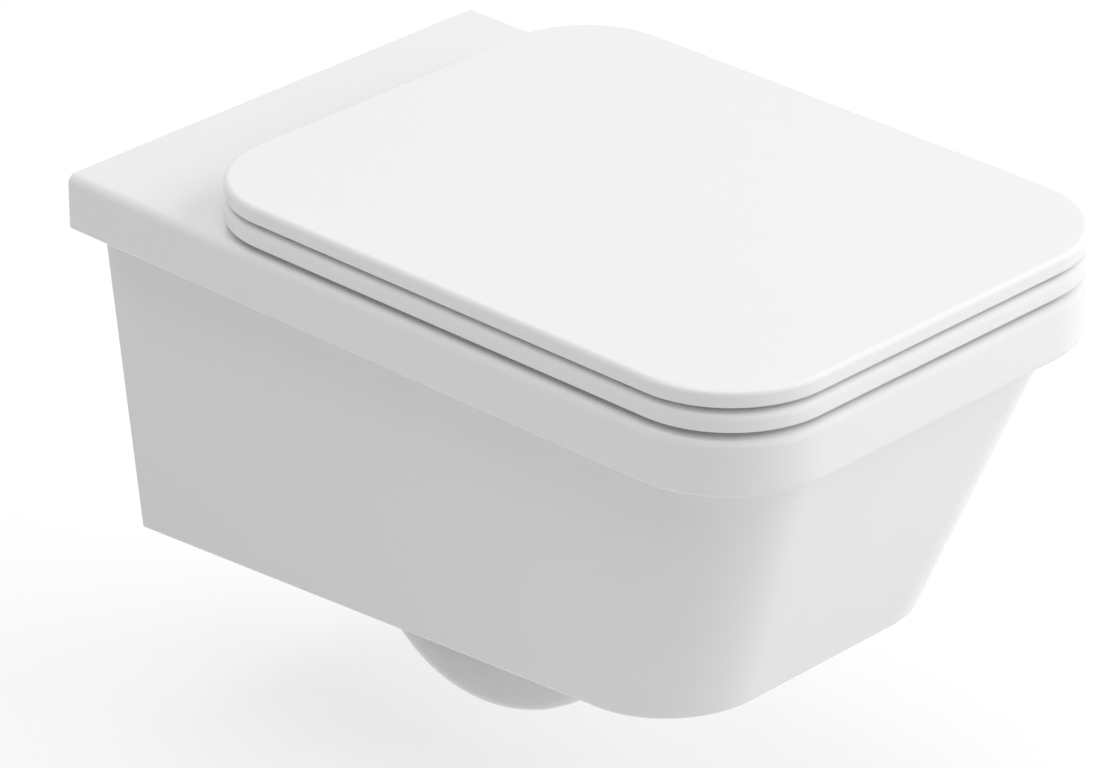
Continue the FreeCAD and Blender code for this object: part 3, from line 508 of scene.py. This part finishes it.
finishes["hinge_metal"] = plated_metal("polished_chrome", CHROME, CHROME_SHINE, HAIRLINES_PER_METRE,
                                       HAIRLINE_DEPTH)
finishes["zinc_steel"] = plated_metal("zinc_plate", ZINC, ZINC_SHINE, ZINC_MARKS_PER_METRE,
                                      ZINC_MARK_DEPTH)
finishes["brass"] = turned_brass()
print("finishes so far:", len(finishes))

# %% [markdown]
# ## Finishes on the solids
#
# The record that comes with the frame says which finish each solid has, so one loop dresses them all.
# The solids keep their shapes; only what they are made of changes.

# %% Finishes on the solids
for subpart in frame["record"]["subparts"]:
    solid = frame["nodes"][subpart["node"]]
    solid.data.materials.clear()
    solid.data.materials.append(finishes[subpart["material_slot"]])

# %% [markdown]
# ## Tools for the small pieces
#
# Pads, seals, tubes, nuts and grips are all turned shapes. A turned shape could be built from stacked
# cylinders, but it is quicker and cleaner made by spinning half of its outline. The outline is drawn
# with straight runs as pairs of radius and height, its corners are rounded with a vertex bevel, and
# the spin closes it. Points on the axis meet there, so doubles are merged before the faces are turned
# outward. Each new piece takes the place of a plainer solid and moves with the same body.

# %% Tools for the small pieces
MERGE_DISTANCE = 0.000002
ROUND_STEPS = 3
SHARP_ANGLE = 40
UP = Vector((0, 0, 1))
OUT_OF_WALL = Vector((0, -1, 0))


def close_up(form):
    """Merge the points that meet and turn all faces outward."""
    bmesh.ops.remove_doubles(form, verts=form.verts, dist=MERGE_DISTANCE)
    bmesh.ops.recalc_face_normals(form, faces=form.faces)


def spun(outline, foot, axis, steps, closed=False, rounding=0.0):
    """A turned form: radius and height pairs, spun about an axis that starts at its foot."""
    form = bmesh.new()
    across = axis.orthogonal().normalized()
    points = [form.verts.new(foot + across * radius + axis * height) for radius, height in outline]
    for pair in zip(points, points[1:] + points[:1] if closed else points[1:]):
        form.edges.new(pair)
    if rounding:
        corners = points if closed else points[1:-1]
        bmesh.ops.bevel(form, geom=corners, offset=rounding, offset_type="OFFSET", segments=ROUND_STEPS,
                        profile=0.5, affect="VERTICES", material=-1)
    bmesh.ops.spin(form, geom=form.verts[:] + form.edges[:], cent=foot, axis=axis, angle=math.tau,
                   steps=steps, use_merge=True)
    close_up(form)
    return form


def join(shape, form):
    """Move one form into a larger shape."""
    carrier = bpy.data.meshes.new("carrier")
    form.to_mesh(carrier)
    form.free()
    shape.from_mesh(carrier)
    bpy.data.meshes.remove(carrier)


def stand_in(name, shape, node, body, slot, sharp_angle=SHARP_ANGLE):
    """Make a piece with soft shading and a finish, in the place of a solid and on its body."""
    piece = add_object(name, shape)
    piece.data.shade_smooth()
    piece.data.set_sharp_from_angle(angle=math.radians(sharp_angle))
    piece.data.materials.append(finishes[slot])
    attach(piece, body)
    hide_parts(node)
    print(name, "faces:", len(piece.data.polygons))


print("points merge within", MERGE_DISTANCE, "m")

# %% [markdown]
# ## Rubber pads under the seat and the lid
#
# Four pads carry the seat on the rim and four smaller ones carry the lid on the seat. A real pad is
# moulded with a flat top, which is pressed into the plastic, a soft edge and a crowned foot. Both
# sizes have the same outline, so it is given once, in shares of the pad's radius and height.

# %% Rubber pads
SEAT_PAD_RADIUS = 0.007
LID_PAD_RADIUS = 0.005
PAD_OUTLINE = ((0, 0), (0.55, 0.03), (0.93, 0.30), (1, 0.62), (1, 1), (0, 1))
PAD_ROUND = 0.09
PAD_STEPS = 40
PAD_SHARP_ANGLE = 60


def rubber_pads(name, node, radius, body):
    low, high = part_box(node)
    height = high.z - low.z
    outline = [(radius * out, height * up) for out, up in PAD_OUTLINE]
    shape = bmesh.new()
    for x in (low.x + radius, high.x - radius):
        for y in (low.y + radius, high.y - radius):
            join(shape, spun(outline, Vector((x, y, low.z)), UP, PAD_STEPS, rounding=PAD_ROUND * radius))
    stand_in(name, shape, node, body, "grey_rubber", PAD_SHARP_ANGLE)


rubber_pads("seat_pads", "seat_buffers", SEAT_PAD_RADIUS, "seat")
rubber_pads("lid_pads", "lid_buffers", LID_PAD_RADIUS, "lid")

# %% [markdown]
# ## Lip seal of the flush inlet
#
# The flush pipe is pushed into a rubber ring in the pan's back. Ribs outside grip the ceramic, and two
# slanted lips inside close on the pipe, so that pressure pushes them tighter. This too is a spin, now
# about the pipe's axis and of a closed outline. Heights are shares of the ring's length, measured in
# from the wall side, so the seal keeps its form if its solid gets another length.

# %% Lip seal
GROOVES = ((0.16, 0.36), (0.60, 0.80))
GROOVE_SLOPE = 0.03
GROOVE_DEPTH = 0.0007
LIP_RADIUS = 0.0226
LIP_EDGE_RADIUS = 0.0232
LIP_ROOT = 0.0248
LIP_TIPS = (0.82, 0.38)
LIP_OUTLINE = ((LIP_RADIUS, 0), (LIP_EDGE_RADIUS, 0.05), (LIP_ROOT, 0.12), (LIP_ROOT, 0.26))
SEAL_STEPS = 72


def seal_outline(outer, length):
    floor_radius = outer - GROOVE_DEPTH
    outside = [(outer, 0)]
    for start, end in GROOVES:
        outside += [(outer, length * start), (floor_radius, length * (start + GROOVE_SLOPE)),
                    (floor_radius, length * end), (outer, length * (end + GROOVE_SLOPE))]
    outside.append((outer, length))
    inside = [(LIP_ROOT, length)]
    for tip in LIP_TIPS:
        inside += [(radius, length * (tip - below)) for radius, below in LIP_OUTLINE]
    inside.append((LIP_ROOT, 0))
    return outside + inside


seal_low, seal_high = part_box("inlet_seal")
seal_foot = Vector((0, seal_high.y, (seal_low.z + seal_high.z) / 2))
seal_ring = seal_outline(seal_high.x, seal_high.y - seal_low.y)
stand_in("lip_seal", spun(seal_ring, seal_foot, OUT_OF_WALL, SEAL_STEPS, closed=True), "inlet_seal", "pan",
         "black_rubber")

# %% [markdown]
# ## Water spreader
#
# Inside the bowl a grey plate stands in front of the inlet and turns the flush water left and right. It
# is one moulding: a tube that is pushed into the inlet, the plate, and two bars that join them above and
# below. The plate starts as a cube of its size. Beveling the edges that run towards the wall rounds its
# corners, an inset and a small push make its front a shallow dish, and a second, smaller bevel breaks
# the sharp edges that are left, as a mould has to.

# %% Water spreader
SPREADER_WALL = 0.003
SPREADER_STUB = 0.034
SPREADER_HALF_HEIGHT = 0.026
SPREADER_CORNER = 0.010
CORNER_STEPS = 8
SPREADER_DISH = 0.0008
SPREADER_EDGE = 0.0005
EDGE_STEPS = 2
EDGE_ANGLE = 60
BAR_HALF_WIDTH = 0.006
BAR_OFFSET = 0.00075
TUBE_STEPS = 64


def soften(form, edges, offset, segments):
    bmesh.ops.bevel(form, geom=edges, offset=offset, offset_type="OFFSET", segments=segments, profile=0.5,
                    affect="EDGES", material=-1)


def slab(low, high, corner, segments):
    """A cuboid between two corners, with its edges towards the wall rounded."""
    form = bmesh.new()
    bmesh.ops.create_cube(form, size=1.0)
    bmesh.ops.scale(form, verts=form.verts, vec=high - low)
    bmesh.ops.translate(form, verts=form.verts, vec=(low + high) / 2)
    runs = [edge for edge in form.edges if abs(edge.verts[1].co.y - edge.verts[0].co.y) > MERGE_DISTANCE]
    soften(form, runs, corner, segments)
    form.normal_update()
    return form


def spreader_plate(low, high):
    plate = slab(low, high, SPREADER_CORNER, CORNER_STEPS)
    front = max(plate.faces, key=lambda face: face.normal.dot(OUT_OF_WALL))
    bmesh.ops.inset_region(plate, faces=[front], thickness=SPREADER_WALL)
    bmesh.ops.translate(plate, verts=front.verts, vec=OUT_OF_WALL * -SPREADER_DISH)
    plate.normal_update()
    sharp = [edge for edge in plate.edges if edge.calc_face_angle(0) > math.radians(EDGE_ANGLE)]
    soften(plate, sharp, SPREADER_EDGE, EDGE_STEPS)
    close_up(plate)
    return plate


spreader_low, spreader_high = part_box("flush_spreader")
middle = (spreader_low.z + spreader_high.z) / 2
stub_radius = (spreader_high.z - spreader_low.z) / 2
stub_bore = stub_radius - SPREADER_WALL
plate_back = spreader_low.y + SPREADER_WALL
shape = spreader_plate(Vector((spreader_low.x, spreader_low.y, middle - SPREADER_HALF_HEIGHT)),
                       Vector((spreader_high.x, plate_back, middle + SPREADER_HALF_HEIGHT)))
tube = [(stub_bore, 0), (stub_radius, 0), (stub_radius, SPREADER_STUB), (stub_bore, SPREADER_STUB)]
join(shape, spun(tube, Vector((0, spreader_high.y, middle)), OUT_OF_WALL, TUBE_STEPS, closed=True,
                 rounding=SPREADER_EDGE))
for side in (-1, 1):
    level = middle + side * (stub_bore + BAR_OFFSET)
    bar_low = Vector((-BAR_HALF_WIDTH, plate_back - SPREADER_WALL / 2, level - SPREADER_WALL / 2))
    bar_high = Vector((BAR_HALF_WIDTH, spreader_high.y - SPREADER_STUB / 2, level + SPREADER_WALL / 2))
    join(shape, slab(bar_low, bar_high, SPREADER_EDGE, EDGE_STEPS))
stand_in("water_spreader", shape, "flush_spreader", "pan", "grey_plastic")

# %% [markdown]
# ## Wall nuts
#
# Each stud carries a hexagon nut on a washer. A nut is turned round with a chamfer at both ends, and its
# six flats are milled afterwards, which leaves the curved edges that every nut shows. The mesh is made in
# the same order: a chamfered ring is spun, and six cutting planes take off what lies outside the flats.
# Each cut leaves a hole, which is filled from the edges that the cut returns. A six-sided prism would be
# quicker, but it has no such curves.

# %% Wall nuts
NUT_SIDES = 6
NUT_FLATS = 0.019
NUT_CORNER = NUT_FLATS / math.sqrt(3)
NUT_FACE_SHARE = 0.97
NUT_FACE = NUT_FLATS / 2 * NUT_FACE_SHARE
NUT_CHAMFER_ANGLE = 30
NUT_CHAMFER = (NUT_CORNER - NUT_FACE) * math.tan(math.radians(NUT_CHAMFER_ANGLE))
NUT_BORE = 0.0061
NUT_THREAD = 0.0005
NUT_PITCH = 0.00175
NUT_STEPS = 72
NUT_SHARP_ANGLE = 20


def nut_outline(thickness):
    turns = int(thickness / NUT_PITCH)
    lead = (thickness - turns * NUT_PITCH) / 2
    groove = NUT_BORE + NUT_THREAD
    outline = [(groove, 0), (NUT_FACE, 0), (NUT_CORNER, NUT_CHAMFER), (NUT_CORNER, thickness - NUT_CHAMFER),
               (NUT_FACE, thickness), (groove, thickness)]
    for turn in range(turns):
        height = thickness - lead - turn * NUT_PITCH
        outline += [(NUT_BORE, height - NUT_PITCH / 2), (groove, height - NUT_PITCH)]
    return outline


def mill_flats(nut, centre):
    for flat in range(NUT_SIDES):
        turn = math.tau * (flat + 0.5) / NUT_SIDES
        out = Vector((math.cos(turn), 0, math.sin(turn)))
        cut = bmesh.ops.bisect_plane(nut, geom=nut.verts[:] + nut.edges[:] + nut.faces[:],
                                     plane_co=centre + out * NUT_FLATS / 2, plane_no=out, clear_outer=True)
        rim = [part for part in cut["geom_cut"] if isinstance(part, bmesh.types.BMEdge)]
        bmesh.ops.edgeloop_fill(nut, edges=rim)


nut_low, nut_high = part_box("fixing_nuts")
shape = bmesh.new()
for x in (nut_low.x + NUT_CORNER, nut_high.x - NUT_CORNER):
    nut_foot = Vector((x, nut_high.y, (nut_low.z + nut_high.z) / 2))
    nut = spun(nut_outline(nut_high.y - nut_low.y), nut_foot, OUT_OF_WALL, NUT_STEPS, closed=True)
    mill_flats(nut, nut_foot)
    close_up(nut)
    join(shape, nut)
stand_in("wall_nuts", shape, "fixing_nuts", "pan", "zinc_steel", NUT_SHARP_ANGLE)

# %% [markdown]
# ## Rubber grips of the hinges
#
# The deck's holes can't be reached from below, so each hinge bolt pulls a nut up against a rubber sleeve.
# Squeezed between nut and deck, the sleeve swells into a barrel under the deck and holds fast. Half of
# its outline is spun like the pads: a fold, the swelling and a second fold under the deck, in shares of
# the barrel's height and of the two radii, and then a straight neck in the hole.

# %% Rubber grips
GRIP_NECK = 0.00668
GRIP_BORE = 0.00425
GRIP_ROUND = 0.0009
DECK_THICKNESS = 0.014
DECK_CLEARANCE = 0.0003
FOLD_BELOW = ((0.00, 0.96), (0.07, 1.00), (0.14, 1.08))
SWELLING = ((0.30, 0.94), (0.50, 1.00), (0.70, 0.94))
FOLD_ABOVE = ((0.86, 1.08), (0.95, 1.00))


def grip_outline(height, swell):
    barrel = height - DECK_THICKNESS - DECK_CLEARANCE
    outside = []
    for radius, shares in ((GRIP_NECK, FOLD_BELOW), (swell, SWELLING), (GRIP_NECK, FOLD_ABOVE)):
        outside += [(radius * out, barrel * up) for up, out in shares]
    return [(GRIP_BORE, 0)] + outside + [(GRIP_NECK, height), (GRIP_BORE, height)]


grip_low, grip_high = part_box("hinge_grips")
grip_swell = (grip_high.y - grip_low.y) / 2
sleeve = grip_outline(grip_high.z - grip_low.z, grip_swell)
shape = bmesh.new()
for x in (grip_low.x + grip_swell, grip_high.x - grip_swell):
    grip_foot = Vector((x, (grip_low.y + grip_high.y) / 2, grip_low.z))
    join(shape, spun(sleeve, grip_foot, UP, PAD_STEPS, closed=True, rounding=GRIP_ROUND))
stand_in("rubber_grips", shape, "hinge_grips", "pan", "black_rubber")
